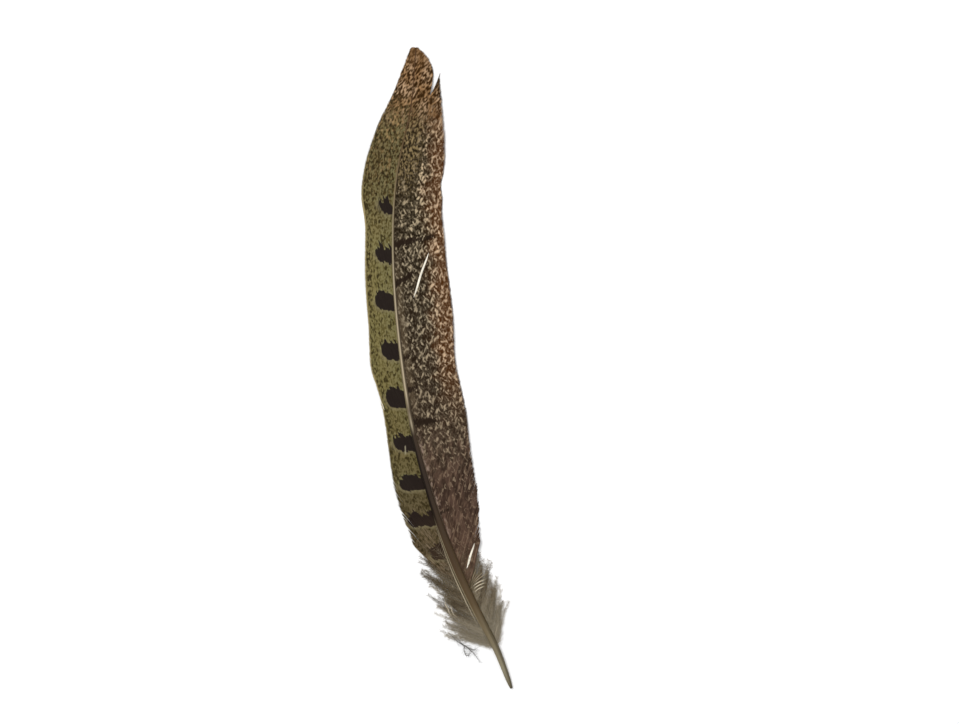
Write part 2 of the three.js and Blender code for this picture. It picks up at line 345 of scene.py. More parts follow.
def barb_strands(vane):
    roots = np.arange(VANE_START - 1.0, LAST_ROOT, BARB_SPACING)
    roots = roots + chance.uniform(-ROOT_JITTER, ROOT_JITTER, len(roots))
    count = len(roots)
    share = np.linspace(0, 1, BARB_RINGS)
    stations, laterals, length = march(vane, roots)

    # Where each barb ends, and its line in a smooth vane
    lock = locks_of(count, *LOCK_SIZES)
    lock_chance = chance.uniform(-1, 1, lock.max() + 1)[lock][:, None]
    barb_chance = chance.uniform(0, 1, count)[:, None]
    slack = loose(roots)[:, None]
    uneven = np.abs(chance.normal(0, 1, count))[:, None]
    cut = END_GAP + END_BY_BARB * uneven + END_BY_LOCK * np.abs(lock_chance)
    cut = cut + END_WHEN_LOOSE * slack * barb_chance
    reach = np.clip(1 - cut / np.maximum(length, 1)[:, None], SHORTEST, 1)
    run = length[:, None] * reach * share
    station = sample(stations, run)
    lateral = sample(laterals, run)
    at_margin = vane.margin_angle(roots)[:, None]
    at_root = vane.root_angle(roots)[:, None]
    angle = np.radians(at_margin + (at_root - at_margin) * np.exp(-run / ANGLE_SETTLES))

    # Locks are drawn together, splits push barbs aside, and loose barbs wander
    centre = np.array([roots[lock == k].mean() for k in range(lock.max() + 1)])[lock]
    drawn = (0.04 + 0.08 * slack) * (centre - roots)[:, None] * share**5
    push_station, push_lateral = opened(vane, roots, run, angle)
    sway = 0.8 * lock_chance + 0.2 * barb_chance
    wander = slack * np.sin(share * (3.5 + 1.5 * sway) + 9 * sway) * share
    station = station + drawn + push_station + 0.3 * wander
    nearest = 0.5 * shaft_half(np.minimum(station, TIP_FROM)) * fade(station, TIP_FROM + 9, TIP_FROM)
    lateral = np.maximum(lateral + push_lateral - 0.25 * wander, nearest)

    # Heights and sizes
    ripple = 0.05 * lock_chance * share + 0.05 * (barb_chance - 0.5)
    lift = chance.uniform(-0.3, 0.6, count)[:, None] * share
    raised = slack * (lift + 0.2 * np.sin(7 * share + 9 * barb_chance))
    height = np.maximum(vane_height(station, lateral, vane) + ripple + raised, LOWEST)
    centres = place(station, lateral, vane.side, height)
    zipped = BARB_SPACING * np.maximum(COVER * np.sin(angle), LEAST_COVER)
    taper = np.clip((1 - share) / 0.04, 0.3, 1)
    half_width = zipped * (1 + 0.15 * slack * share) * taper * MM
    half_height = (0.085 - 0.045 * share) * MM * np.ones((count, 1))

    # Values for the material
    tuft = locks_of(count, *TUFT_SIZES)
    tuft_chance = chance.uniform(-1, 1, tuft.max() + 1)[tuft][:, None]
    if vane is outer:
        spot, above = spot_field(station, lateral, 0.35 * (barb_chance - 0.5) + 0.55 * tuft_chance)
    else:
        spot, above = bar_field(station, lateral), 0.0
    fields = {
        "station": station,
        "lateral": lateral,
        "edge": lateral / np.maximum(vane.width(station), 0.3),
        "from_shaft": lateral - shaft_half(station),
        "run": run,
        "root": roots[:, None],
        "chance": barb_chance,
        "spot": spot,
        "above": above,
        "pale": 0.0,
    }
    return tubes(vane.name, centres, half_width, half_height, DIAMOND, fields, tilt=vane.side * TILT)

def turned_strands_and_painted_light(vane):
    """The turned barbs listed for this vane, which are spindles in their splits. They are marked pale, which
    paints them near white: partly their own pale side, and partly painted light for the bright surface seen
    through the splits.
    """
    rows = [row[1:] for row in TURNED_BARBS_AND_PAINTED_LIGHT if row[0] == vane.side]
    root, start, stop, half = np.array(rows).T[..., None]
    stations, laterals, length = march(vane, root[:, 0])
    share = np.linspace(0, 1, BARB_RINGS)
    stop = np.minimum(stop, length[:, None] - 0.2)
    run = start + (stop - start) * share
    station = sample(stations, run)
    lateral = sample(laterals, run)
    height = vane_height(station, lateral, vane) + 0.02
    lateral = lateral + 0.12 * np.sin(9 * share)
    half = half * (np.sin(np.pi * share) ** 0.7 + 0.05) * MM
    # pale at 1 paints these strands near white, partly painted light
    fields = {
        "station": station, "lateral": lateral, "edge": 0.5, "from_shaft": lateral, "run": run, "root": root,
        "chance": 0.5, "spot": OFF_SPOT, "above": 0.0, "pale": 1.0,
    }
    return tubes(vane.name, place(station, lateral, vane.side, height), half, half * 0.5, DIAMOND, fields)

# The black spots along the outer vane: station, half length along the shaft, laterals from and to, slope
# and how ragged
SPOTS = [
    (152.9, 2.0, -0.3, 5.0, 0.55, 3.4),
    (138.7, 2.7, -0.8, 5.6, 0.34, 2.7),
    (124.3, 3.0, -0.8, 6.3, 0.22, 1.1),
    (109.0, 3.0, -0.8, 5.9, 0.22, 1.2),
    (94.3, 3.2, -1.0, 6.5, 0.22, 1.2),
    (80.4, 2.7, -1.0, 6.8, 0.22, 1.4),
    (68.0, 2.4, -0.8, 8.3, 0.22, 1.3),
    (56.7, 2.2, -0.4, 9.4, 0.22, 1.8),
    (45.8, 2.4, -0.8, 6.0, 0.15, 1.1),
]
# The dark bars across the inner vane: station at the shaft and at the far end, the far end's lateral, half
# length
BARS = [
    (141.4, 144.1, 12.6, 0.95),
    (128.9, 132.2, 5.6, 1.2),
    (106.2, 106.8, 3.8, 0.8),
    (95.9, 96.7, 3.9, 0.8),
    (85.9, 85.2, 8.5, 1.1),
    (56.9, 57.5, 5.8, 0.55),
]


OFF_SPOT = -3.0  # the field's value far from every spot or bar
SQUARENESS = 2.8  # 2 would make a spot an ellipse, and more makes it squarer
SMOOTH_EDGE = 0.35  # how jagged a spot's edge towards the quill is, beside the other

def spot_field(station, lateral, jag):
    """How far inside the nearest spot a point is, in mm, and less than nothing outside, and on which side of
    its middle. The edge towards the tip is jagged from barb to barb, and the other one nearly smooth."""
    best = np.full(station.shape, OFF_SPOT)
    above = np.zeros(station.shape)
    for middle, half, start, stop, slope, ragged in SPOTS:
        aside = lateral - (start + stop) / 2
        offset = station - middle - slope * aside
        offset = offset + jag * ragged * np.where(offset > 0, 1.0, SMOOTH_EDGE)
        reach = (stop - start) / 2
        away = (np.abs(offset / half) ** SQUARENESS + np.abs(aside / reach) ** SQUARENESS) ** (1 / SQUARENESS)
        inside = (1 - away) * half
        above = np.where(inside > best, np.sign(offset), above)
        best = np.maximum(best, inside)
    return best, above

def bar_field(station, lateral):
    """How far inside the nearest bar a point is. Bars get thinner towards their far ends."""
    best = np.full(station.shape, OFF_SPOT)
    for near, far, stop, half in BARS:
        along = np.clip(lateral / stop, 0, 1.6)
        middle = near + (far - near) * along
        thin = half * (1.1 - 0.5 * along)
        best = np.maximum(best, np.minimum(thin - np.abs(station - middle), stop - lateral))
    return best

# Down: soft barbs that leave the shaft below the vanes, each with hair-fine barbules on both sides
DOWN_START = 13.2
DOWN_STOP = VANE_START + 8
DOWN_BARBS = 140
DOWN_RINGS = 13
BARBULE_SPACING = 0.32
TRIANGLE = [(-1, -0.6), (1, -0.6), (0, 1)]
# By side, for the lowest barb and the highest: angle off the shaft, how far the barb turns, and its length
DOWN_SHAPES = {
    -1: [(48, 32), (-14, -10), (15.0, 13.5)],
    1: [(36, 30), (-8, -6), (14.0, 13.0)],
}

def down_barbs(side, name):
    count = DOWN_BARBS
    share = np.linspace(0, 1, DOWN_RINGS)
    order = (np.arange(count) + chance.uniform(0, 1, count)) / count
    roots = DOWN_START + (DOWN_STOP - DOWN_START) * order
    angle, turn, length = [low + (high - low) * order for low, high in DOWN_SHAPES[side]]
    angle = (angle + chance.normal(0, 8, count))[:, None]
    turn = (turn + chance.normal(0, 9, count))[:, None]
    length = length * chance.uniform(0.6, 1.08, count)
    phase = chance.uniform(0, 6.3, count)[:, None]
    swing = chance.uniform(2, 9, count)[:, None]
    heading = np.radians(angle + turn * share**2 + swing * np.sin(5 * share + phase))
    steps = length[:, None] / (DOWN_RINGS - 1) * np.array([np.cos(heading), np.sin(heading)])
    run_station, run_lateral = np.cumsum(steps, axis=2) - steps
    station = roots[:, None] + run_station
    lateral = 0.5 * shaft_half(roots)[:, None] + run_lateral
    top = shaft_lift(roots)[:, None] * chance.uniform(0.5, 1.15, count)[:, None]
    land = chance.uniform(0.1, 0.5, count)[:, None]
    loft = chance.uniform(0.0, 0.9, count)[:, None] * np.sin(np.pi * share)
    height = land + (top - land) * (1 - share) ** 1.3 + loft
    centres = place(station, lateral, side, np.maximum(height, 0.08))
    half = (0.055 - 0.035 * share) * MM * np.ones((count, 1))
    tint = chance.uniform(0, 1, count)
    rami = tubes(name, centres, half, half, TRIANGLE, down_fields(station, share, tint[:, None]))
    soft = rami.joined(barbules(name, centres, length, 0.03, tint, station))
    return soft.joined(strays(side, name))

# Strays in the down: side, tint from dark to pale, widest half width, and stations and laterals along them
STRAYS = [
    (-1, -0.9, 0.07, [23.5, 20.2, 17.4, 14.6, 11.1], [10.8, 9.8, 8.0, 6.9, 6.25]),
    (-1, -0.9, 0.09, [18.0, 16.8, 15.2, 14.6, 15.6], [8.4, 9.2, 9.4, 8.6, 7.9]),
    (-1, -0.8, 0.06, [21.0, 18.6, 16.8, 15.6, 15.4], [9.4, 8.7, 7.6, 6.6, 5.6]),
    (-1, 1.6, 0.12, [27.0, 28.4, 29.8, 31.0, 32.2], [7.6, 7.9, 7.7, 7.9, 7.4]),
    (-1, 1.5, 0.1, [26.2, 27.2, 28.6, 29.6, 30.4], [6.2, 6.9, 7.0, 6.6, 6.7]),
    (-1, 0.9, 0.2, [53.0, 45.0, 37.0, 29.0, 22.0], [1.4, 1.6, 1.75, 1.8, 1.8]),
]
# Fans of stray barbs: side, tint, widest half width, how many, and the first and the last barb's start and
# end
FANS = [
    (1, 0.9, 0.17, 4, [(33.8, 2.5), (36.8, 5.6)], [(33.2, 2.8), (34.2, 8.2)]),
    (1, 1.7, 0.16, 3, [(32.6, 2.4), (32.7, 7.0)], [(30.8, 2.0), (31.0, 5.6)]),
]


STRAY_KNOTS = 5

def fan_rows():
    """Rows like those of STRAYS for the barbs of the fans, which bow a little towards the tip."""
    rows = []
    part = np.linspace(0, 1, STRAY_KNOTS)[:, None]
    for side, tint, half, count, first, last in FANS:
        for share in np.linspace(0, 1, count):
            start, stop = (1 - share) * np.array(first) + share * np.array(last)
            line = start * (1 - part) + stop * part + [[0.25, 0]] * np.sin(np.pi * part)
            rows.append((side, tint + 0.2 * chance.uniform(-1, 1), half, line[:, 0], line[:, 1]))
    return rows

def strays(side, name):
    """The strays, with barbules on half their length's number, and the fans, which have none."""
    bushy = [row for row in STRAYS if row[0] == side]
    rows = bushy + [row for row in fan_rows() if row[0] == side]
    share = np.linspace(0, 1, DOWN_RINGS)
    knots = np.linspace(0, 1, STRAY_KNOTS)
    station = np.array([np.interp(share, knots, row[3]) for row in rows])
    lateral = np.array([np.interp(share, knots, row[4]) for row in rows])
    tint = np.array([row[1] for row in rows])
    widest = np.array([row[2] for row in rows])[:, None]
    height = 0.5 + 1.1 * shaft_lift(station) * np.exp(-lateral / 9) + 0.3 * np.sin(np.pi * share)
    centres = place(station, lateral, side, height)
    length = 0.5 * np.sum(np.hypot(np.diff(station), np.diff(lateral)), axis=1)
    length[len(bushy):] = 0
    half = (0.03 + widest * np.sin(np.pi * np.clip(share * 0.92 + 0.06, 0, 1))) * MM
    fields = down_fields(station, share, tint[:, None])
    lines = tubes(name, centres, half, np.minimum(half, 0.1 * MM), TRIANGLE, fields)
    return lines.joined(barbules(name, centres, length, 0.1, tint, station))

def down_fields(station, share, tint):
    return {"station": station, "share": share, "chance": tint}

def barbules(name, centres, length, start, tint, station):
    """Hair-fine side branches in pairs on every strand, from share start of it to its end."""
    rings = centres.shape[1]
    headings = unit(np.gradient(centres, axis=1))
    rows = []
    for i, each in enumerate(length):
        pairs = int(each * (1.0 - start) / BARBULE_SPACING)
        at = np.repeat(np.linspace(start, 1.0, pairs), 2) * (rings - 1)
        at = np.clip(at + chance.uniform(-0.15, 0.15, len(at)), 0, rings - 1.001)
        low = at.astype(int)
        part = (at - low)[:, None]
        root = centres[i, low] * (1 - part) + centres[i, low + 1] * part
        rows.append((root, headings[i, low], np.full(len(at), tint[i]), station[i, low], at / (rings - 1)))
    root, along, tints, stations, shares = [np.concatenate(values) for values in zip(*rows)]
    count = len(root)
    hand = np.tile([1.0, -1.0], count // 2)[:, None]
    across = unit(np.cross(along, UPWARDS)) * hand
    lean = np.radians(chance.normal(48, 11, count))[:, None]
    rise = chance.normal(0.0, 0.22, count)[:, None]
    reach = (chance.uniform(0.9, 2.1, count) * (1 - 0.45 * shares))[:, None] * MM
    out = unit(along * np.cos(lean) + across * np.sin(lean) + rise * UPWARDS)
    curl = unit(out + 0.5 * along * chance.uniform(0.2, 1.4, count)[:, None])
    middle = root + out * reach * 0.55
    tip = middle + curl * reach * 0.45
    points = np.stack([root, middle, tip], axis=1)
    points[..., 2] = np.maximum(points[..., 2], 0.03 * MM)
    half = np.array([0.036, 0.028, 0.01]) * MM * np.ones((count, 1))
    fields = down_fields(stations[:, None], shares[:, None], tints[:, None])
    return tubes(name, points, half, half, TRIANGLE, fields)

# The shaft: a round quill that turns into a squarer rachis with a groove underneath
SHAFT_END = 200.9
SHAFT_RINGS = 150
SHAFT_SIDES = 24
GROOVE_WIDTH = 0.35
squareness = profile([0, 1], [30, 1], [60, 0.75], [200, 0.7])
rounded_end = profile([0, 0.62], [1.2, 0.86], [3, 1])
groove_depth = profile([0, 0], [34, 0], [46, 0.35], [200, 0.3])

def shaft_strand():
    station = SHAFT_END * np.linspace(0, 1, SHAFT_RINGS)[:, None]
    turn = 2 * np.pi * np.arange(SHAFT_SIDES) / SHAFT_SIDES
    half = shaft_half(station) * rounded_end(station)
    sideways = np.sign(np.cos(turn)) * np.abs(np.cos(turn)) ** squareness(station)
    upwards = np.sign(np.sin(turn)) * np.abs(np.sin(turn)) ** squareness(station)
    under = np.exp(-((sideways / GROOVE_WIDTH) ** 2)) * (upwards < 0)
    upwards = upwards + groove_depth(station) * under
    height = np.maximum(shaft_lift(station) + upwards * half, 0)
    points = place(station, sideways * half, 1, height)
    fields = {"station": station, "across": np.cos(turn), "up": np.sin(turn)}
    return closed("shaft_skin", points[None], fields)

# Materials
PAPER = 0.9  # what the pale surface reflects, which the photograph shows as white


def seen(red, green, blue):
    """The colour of a surface that the photograph shows as these sRGB values."""
    channel = [v / 255 for v in (red, green, blue)]
    linear = [v / 12.92 if v <= 0.04045 else ((v + 0.055) / 1.055) ** 2.4 for v in channel]
    return tuple(PAPER * v for v in linear) + (1.0,)


class Paint:
    """A material, and short ways to add its nodes."""

    def __init__(self, name, **constants):
        self.material = bpy.data.materials.new(name)
        self.material.use_nodes = True
        self.tree = self.material.node_tree
        self.shader = self.tree.nodes["Principled BSDF"]
        for socket, value in constants.items():
            self.shader.inputs[socket.replace("_", " ")].default_value = value

    def node(self, kind, inputs=(), **settings):
        made = self.tree.nodes.new(kind)
        for key, value in settings.items():
            setattr(made, key, value)
        for key, value in dict(inputs).items():
            self.give(made.inputs[key], value)
        return made

    def give(self, socket, value):
        if isinstance(value, bpy.types.NodeSocket):
            self.tree.links.new(value, socket)
        else:
            socket.default_value = value

    def field(self, name):
        return self.node("ShaderNodeAttribute", attribute_name=name).outputs["Fac"]

    def math(self, operation, a, b=0.0, c=0.0):
        return self.node("ShaderNodeMath", {0: a, 1: b, 2: c}, operation=operation).outputs[0]

    def times(self, first, *others):
        for other in others:
            first = self.math("MULTIPLY", first, other)
        return first

    def step(self, value, low, high):
        """0 up to low, 1 from high on, smooth between."""
        inputs = {"Value": value, "From Min": low, "From Max": high}
        return self.node("ShaderNodeMapRange", inputs, interpolation_type="SMOOTHSTEP").outputs[0]

    def band(self, value, start, full, fading, stop):
        """0 up to start, 1 from full to fading, and 0 again from stop on."""
        return self.times(self.step(value, start, full), self.step(value, stop, fading))

    def mix(self, share, a, b, blend="MIX"):
        made = self.node("ShaderNodeMix", data_type="RGBA", blend_type=blend)
        self.give(made.inputs[0], share)
        self.give(made.inputs[6], a)
        self.give(made.inputs[7], b)
        return made.outputs[2]

    def over(self, colour, shade, *shares):
        """A colour with a shade over it, as much as all the shares multiplied."""
        return self.mix(self.times(*shares), colour, shade)

    def spot(self, x, y, z=0.0):
        return self.node("ShaderNodeCombineXYZ", {0: x, 1: y, 2: z}).outputs[0]

    def noise(self, vector, scale, detail=1.0, roughness=0.5):
        inputs = {"Vector": vector, "Scale": scale, "Detail": detail, "Roughness": roughness}
        return self.node("ShaderNodeTexNoise", inputs).outputs["Fac"]

    def ramp(self, value, *stops):
        made = self.node("ShaderNodeValToRGB", {0: value})
        elements = made.color_ramp.elements
        while len(elements) < len(stops):
            elements.new(0.5)
        for element, (position, colour) in zip(elements, stops):
            element.position = position
            element.color = colour
        return made.outputs[0]

    def bump(self, height, strength, distance):
        inputs = {"Height": height, "Strength": strength, "Distance": distance}
        return self.node("ShaderNodeBump", inputs).outputs[0]


def combed_sheen(paint, f, seed):
    """Painted sheen: fine lighter streaks along the barbs, where neighbours lie differently and catch the
    light differently.
    """
    where = paint.spot(paint.times(f["run"], 0.16), paint.times(f["root"], 1.1), seed)
    return paint.step(paint.noise(where, 1.0, 3.0, 0.65), 0.5, 0.7)

def hills(paint, along, across, stretch, scale, low, high, seed):
    """Separate marks, stretched one way: the hilltops of a noise."""
    where = paint.spot(paint.math("DIVIDE", along, stretch), across, seed)
    return paint.step(paint.noise(where, scale, 0.6), low, high)

def dabs(paint, f, *shape):
    """Such marks, longer along the feather."""
    return hills(paint, f["along"], f["lateral"], *shape)

STROKE_LEAN = 0.4
STROKE_STRETCH = 1.85
STROKE_SCALE = 1.32

def strokes(paint, f, low, high, seed):
    """Short strokes that lean either way, and meet in the shape of a V here and there."""
    both = []
    for lean, other_seed in ((-STROKE_LEAN, seed), (STROKE_LEAN, seed + 4)):
        across = paint.math("MULTIPLY_ADD", f["along"], lean, f["lateral"])
        both.append(hills(paint, f["along"], across, STROKE_STRETCH, STROKE_SCALE, low, high, other_seed))
    return paint.math("MAXIMUM", *both)

def barb_grain(paint, f, strength):
    """Brightness that changes from barb to barb and slowly along each."""
    where = paint.spot(paint.times(f["run"], 0.35), paint.times(f["root"], 2.3), 3.0)
    grain = paint.noise(where, 1.0, 2.0, 0.6)
    return paint.math("MULTIPLY_ADD", paint.math("SUBTRACT", grain, 0.5), strength, 1.0)

VANE_FIELDS = ("station", "lateral", "edge", "from_shaft", "run", "root", "chance", "spot", "above", "pale")
RAMP_LENGTH = 200.0  # colour ramps along the feather give stations as shares of this
GRAIN = 0.7
TIP_GRAIN = 0.8  # how much stronger the grain is at the tip
HOOKS = 42.0  # how close the barbules' bumps are

def vane_common(paint):
    """The coordinates that both vanes' patterns use, shifted a little from barb to barb."""
    fields = {key: paint.field(key) for key in VANE_FIELDS}
    shift = paint.times(paint.math("SUBTRACT", fields["chance"], 0.5), 0.3)
    fields["along"] = paint.math("ADD", fields["station"], shift)
    fields["height"] = paint.math("DIVIDE", fields["station"], RAMP_LENGTH)
    return fields

def finish_vane(paint, colour, f, under):
    """Near white on the turned barbs, grain, the paler underside and fine barbule bumps, into the shader."""
    # Near white on the turned barbs: their pale side, and painted light in place of the bright surface seen
    # through the splits
    colour = paint.mix(f["pale"], colour, seen(252, 244, 226))
    strength = paint.math("MULTIPLY_ADD", paint.step(f["station"], 172.0, 186.0), TIP_GRAIN, GRAIN)
    grain = barb_grain(paint, f, strength)
    lit = paint.mix(1.0, colour, paint.spot(grain, grain, grain), "MULTIPLY")
    normal = paint.node("ShaderNodeNewGeometry").outputs["Normal"]
    normal_up = paint.node("ShaderNodeSeparateXYZ", {0: normal}).outputs[2]
    shown = paint.over(lit, under, paint.step(normal_up, 0.15, -0.35), 0.75)
    paint.give(paint.shader.inputs["Base Color"], shown)
    hooks = paint.math("SINE", paint.times(f["run"], HOOKS))
    fine = paint.noise(paint.spot(paint.times(f["run"], 5.0), f["root"]), 1.0, 2.0)
    height = paint.math("ADD", paint.times(hooks, 0.3), fine)
    paint.give(paint.shader.inputs["Normal"], paint.bump(height, 0.35, 0.00005))
    paint.give(paint.shader.inputs["Roughness"], paint.math("MULTIPLY_ADD", fine, 0.16, 0.5))
    return paint.material

def tip_colours(paint, f, lean, seed):
    """The brown, streaky end that both vanes run into."""
    across = paint.math("MULTIPLY_ADD", f["along"], lean, f["lateral"])
    streaks = hills(paint, f["along"], across, 1.8, 1.75, 0.38, 0.7, seed)
    patches = dabs(paint, f, 2.0, 0.4, 0.4, 0.65, seed + 2)
    bright = paint.mix(patches, seen(158, 122, 84), seen(184, 152, 118))
    colour = paint.mix(streaks, seen(54, 32, 4), bright)
    return paint.over(colour, seen(104, 74, 42), paint.step(f["station"], 193.0, 199.0), 0.5)

def inner_material():
    paint = Paint("inner_barbs", Specular_IOR_Level=0.05)
    f = vane_common(paint)
    station = f["station"]
    edge = f["edge"]
    ground = paint.ramp(
        f["height"],
        (0.16, seen(80, 62, 47)), (0.24, seen(67, 49, 38)), (0.31, seen(54, 39, 30)),
        (0.42, seen(40, 28, 16)), (0.62, seen(36, 25, 11)), (0.76, seen(30, 21, 6)),
        (0.88, seen(28, 18, 3)), (1.0, seen(48, 30, 8)),
    )
    bright = paint.ramp(
        f["height"],
        (0.16, seen(154, 130, 104)), (0.28, seen(148, 126, 104)), (0.40, seen(166, 148, 122)),
        (0.60, seen(176, 161, 134)), (0.68, seen(180, 164, 136)), (0.76, seen(192, 174, 142)),
        (0.86, seen(212, 187, 150)), (1.0, seen(212, 178, 138)),
    )

    # Rust towards the margin, a softer ground beside the shaft, and marks of different brightness
    ragged = paint.noise(paint.spot(f["along"], f["lateral"], 11.0), 0.22, 2.0)
    wander = paint.times(paint.math("SUBTRACT", ragged, 0.5), 0.5)
    rust = paint.step(paint.math("ADD", edge, wander), 0.45, 0.9)
    rust = paint.times(rust, paint.step(station, 75.0, 110.0))
    ground = paint.mix(rust, ground, seen(74, 42, 12))
    soft = paint.band(station, 84.0, 96.0, 126.0, 142.0)
    ground = paint.over(ground, seen(88, 74, 55), soft, paint.step(f["from_shaft"], 2.8, 0.9), 0.6)
    bright = paint.mix(rust, bright, seen(236, 203, 166))
    bright = paint.over(bright, seen(122, 106, 84), dabs(paint, f, 1.3, 0.9, 0.35, 0.65, 47.0), 0.3)

    # The cream marks, which are fainter low down, beside the shaft and in the rust
    marks = strokes(paint, f, 0.54, 0.76, 2.0)
    cores = paint.math("SUBTRACT", paint.step(marks, 0.4, 0.95), marks)
    marks = paint.math("MULTIPLY_ADD", cores, paint.step(station, 80.0, 62.0), marks)
    fine = paint.times(dabs(paint, f, 1.5, 2.3, 0.4, 0.75, 9.0), paint.step(station, 60.0, 82.0), 0.2)
    marks = paint.math("MAXIMUM", marks, fine)
    greys = ((0.18, 0.45), (0.3, 0.5), (0.36, 0.74), (0.42, 0.94), (0.52, 1.0))
    contrast = paint.ramp(f["height"], *[(place_at, (grey, grey, grey, 1)) for place_at, grey in greys])
    near = paint.math("MULTIPLY_ADD", paint.step(edge, 0.02, 0.3), 0.35, 0.65)
    fewer = paint.math("MULTIPLY_ADD", rust, -0.2, 1.0)
    colour = paint.over(ground, bright, marks, contrast, near, fewer)

    # A calm, olive mottle beside the shaft higher up, and the tip
    mottle = paint.mix(dabs(paint, f, 1.5, 1.7, 0.39, 0.7, 17.0), seen(32, 23, 6), seen(144, 124, 86))
    colour = paint.over(colour, mottle, paint.step(station, 152.0, 170.0), paint.step(edge, 0.55, 0.25), 0.9)
    colour = paint.mix(paint.step(station, 174.0, 188.0), colour, tip_colours(paint, f, -0.45, 13.0))

    # Clouds, smears and painted sheen streaks low down
    cloud = dabs(paint, f, 2.2, 0.4, 0.46, 0.62, 15.0)
    colour = paint.over(colour, seen(106, 82, 68), cloud, paint.step(station, 92.0, 68.0), 0.35)
    smears = hills(paint, f["run"], f["root"], 3.0, 1.0, 0.5, 0.72, 45.0)
    colour = paint.over(colour, seen(132, 108, 88), smears, paint.step(station, 88.0, 68.0), 0.42)
    # Painted sheen: lighter streaks along the barbs below station 110
    streaks = combed_sheen(paint, f, 41.0)
    colour = paint.over(colour, seen(140, 118, 98), streaks, paint.step(station, 110.0, 80.0), 0.18)

    # The dark margin and torn spike, the shadow and pale dashes beside the shaft, and the bars
    colour = paint.over(colour, seen(66, 44, 24), paint.step(edge, 0.965, 0.99), 0.6)
    spike = paint.step(station, 187.5, 190.5)
    colour = paint.over(colour, seen(44, 34, 18), spike, paint.step(f["root"], 170.8, 170.4), 0.7)
    beside = paint.band(station, 60.0, 90.0, 146.0, 160.0)
    colour = paint.over(colour, seen(48, 36, 22), beside, paint.step(f["from_shaft"], 0.7, 0.1), 0.25)
    strip = paint.times(paint.band(station, 46.0, 54.0, 78.0, 86.0), paint.step(f["from_shaft"], 1.3, 0.5))
    colour = paint.over(colour, seen(140, 120, 106), strip, dabs(paint, f, 2.4, 1.7, 0.44, 0.7, 19.0))
    jagged = paint.math("ADD", f["spot"], paint.times(paint.math("SUBTRACT", f["chance"], 0.5), 0.9))
    colour = paint.over(colour, seen(36, 25, 16), paint.step(jagged, -0.15, 0.25), 0.95)
    return finish_vane(paint, colour, f, seen(120, 106, 86))

def outer_material():
    paint = Paint("outer_barbs", Specular_IOR_Level=0.05)
    f = vane_common(paint)
    station = f["station"]
    edge = f["edge"]
    olive = paint.ramp(
        f["height"],
        (0.18, seen(106, 90, 70)), (0.26, seen(95, 81, 58)), (0.32, seen(95, 84, 58)),
        (0.40, seen(111, 99, 64)), (0.50, seen(124, 112, 70)), (0.66, seen(128, 117, 74)),
        (0.74, seen(122, 110, 72)), (0.80, seen(112, 98, 66)),
    )
    shade = paint.ramp(
        f["height"],
        (0.18, seen(70, 58, 40)), (0.36, seen(70, 61, 32)), (0.50, seen(88, 78, 42)),
        (0.66, seen(92, 83, 46)), (0.80, seen(74, 60, 30)),
    )

    # Olive, greener in places and beside the shaft, with a darker mottle
    green = dabs(paint, f, 2.0, 0.16, 0.35, 0.7, 33.0)
    olive = paint.over(olive, seen(112, 112, 70), green, paint.step(station, 60.0, 90.0), 0.3)
    deep = paint.step(edge, 0.75, 0.2)
    olive = paint.over(olive, seen(116, 111, 78), deep, paint.step(station, 70.0, 100.0), 0.5)
    colour = paint.mix(dabs(paint, f, 1.5, 2.1, 0.32, 0.62, 23.0), shade, olive)

    # Specks all over, painted sheen streaks low down, flecks and glints higher up, and the tip
    colour = paint.over(colour, seen(44, 35, 10), dabs(paint, f, 2.0, 1.6, 0.59, 0.67, 21.0), 0.85)
    # Painted sheen: lighter streaks along the barbs below station 66
    streaks = combed_sheen(paint, f, 43.0)
    colour = paint.over(colour, seen(142, 124, 102), streaks, paint.step(station, 66.0, 46.0), 0.6)
    flecks = dabs(paint, f, 1.5, 1.6, 0.52, 0.66, 25.0)
    colour = paint.over(colour, seen(40, 29, 8), flecks, paint.step(station, 146.0, 160.0), 0.9)
    glints = dabs(paint, f, 1.7, 1.5, 0.56, 0.72, 29.0)
    colour = paint.over(colour, seen(168, 138, 94), glints, paint.step(station, 150.0, 178.0), 0.65)
    colour = paint.mix(paint.step(station, 173.0, 189.0), colour, tip_colours(paint, f, 0.45, 53.0))

    # A row of dots and a pale line along the margin
    dots = dabs(paint, f, 2.0, 2.1, 0.54, 0.62, 27.0)
    colour = paint.over(colour, seen(46, 36, 12), dots, paint.band(edge, 0.7, 0.82, 0.9, 0.96), 0.85)
    margin = paint.times(paint.step(edge, 0.93, 0.97), paint.band(station, 70.0, 92.0, 150.0, 172.0))
    colour = paint.over(colour, seen(176, 160, 116), margin, 0.75)

    # Each spot, with a paler edge below it and pale teeth above
    near = paint.step(f["spot"], -1.2, -0.1)
    colour = paint.over(colour, seen(130, 120, 90), near, paint.step(f["above"], 0.5, -0.5), 0.5)
    teeth = paint.times(paint.step(f["spot"], -0.7, -0.1), paint.step(f["above"], -0.5, 0.5))
    teeth = paint.times(teeth, paint.step(f["chance"], 0.3, 0.6), paint.step(station, 50.0, 80.0))
    colour = paint.over(colour, seen(146, 140, 96), teeth, 0.5)
    ink = paint.ramp(
        f["height"],
        (0.22, seen(54, 40, 28)), (0.29, seen(36, 26, 22)), (0.36, seen(32, 24, 22)),
    )
    colour = paint.over(colour, ink, paint.step(f["spot"], -0.08, 0.12), 0.98)

    # The pale nick in one spot, where lateral is 20.1 less 0.21 of the station
    nick_line = paint.math("MULTIPLY_ADD", station, -0.21, 20.1)
    off_line = paint.math("ABSOLUTE", paint.math("SUBTRACT", f["lateral"], nick_line))
    nick = paint.times(paint.step(off_line, 0.26, 0.14), paint.band(station, 76.8, 77.4, 79.3, 79.9))
    colour = paint.over(colour, seen(150, 142, 118), nick, 0.8)
    return finish_vane(paint, colour, f, seen(132, 120, 96))

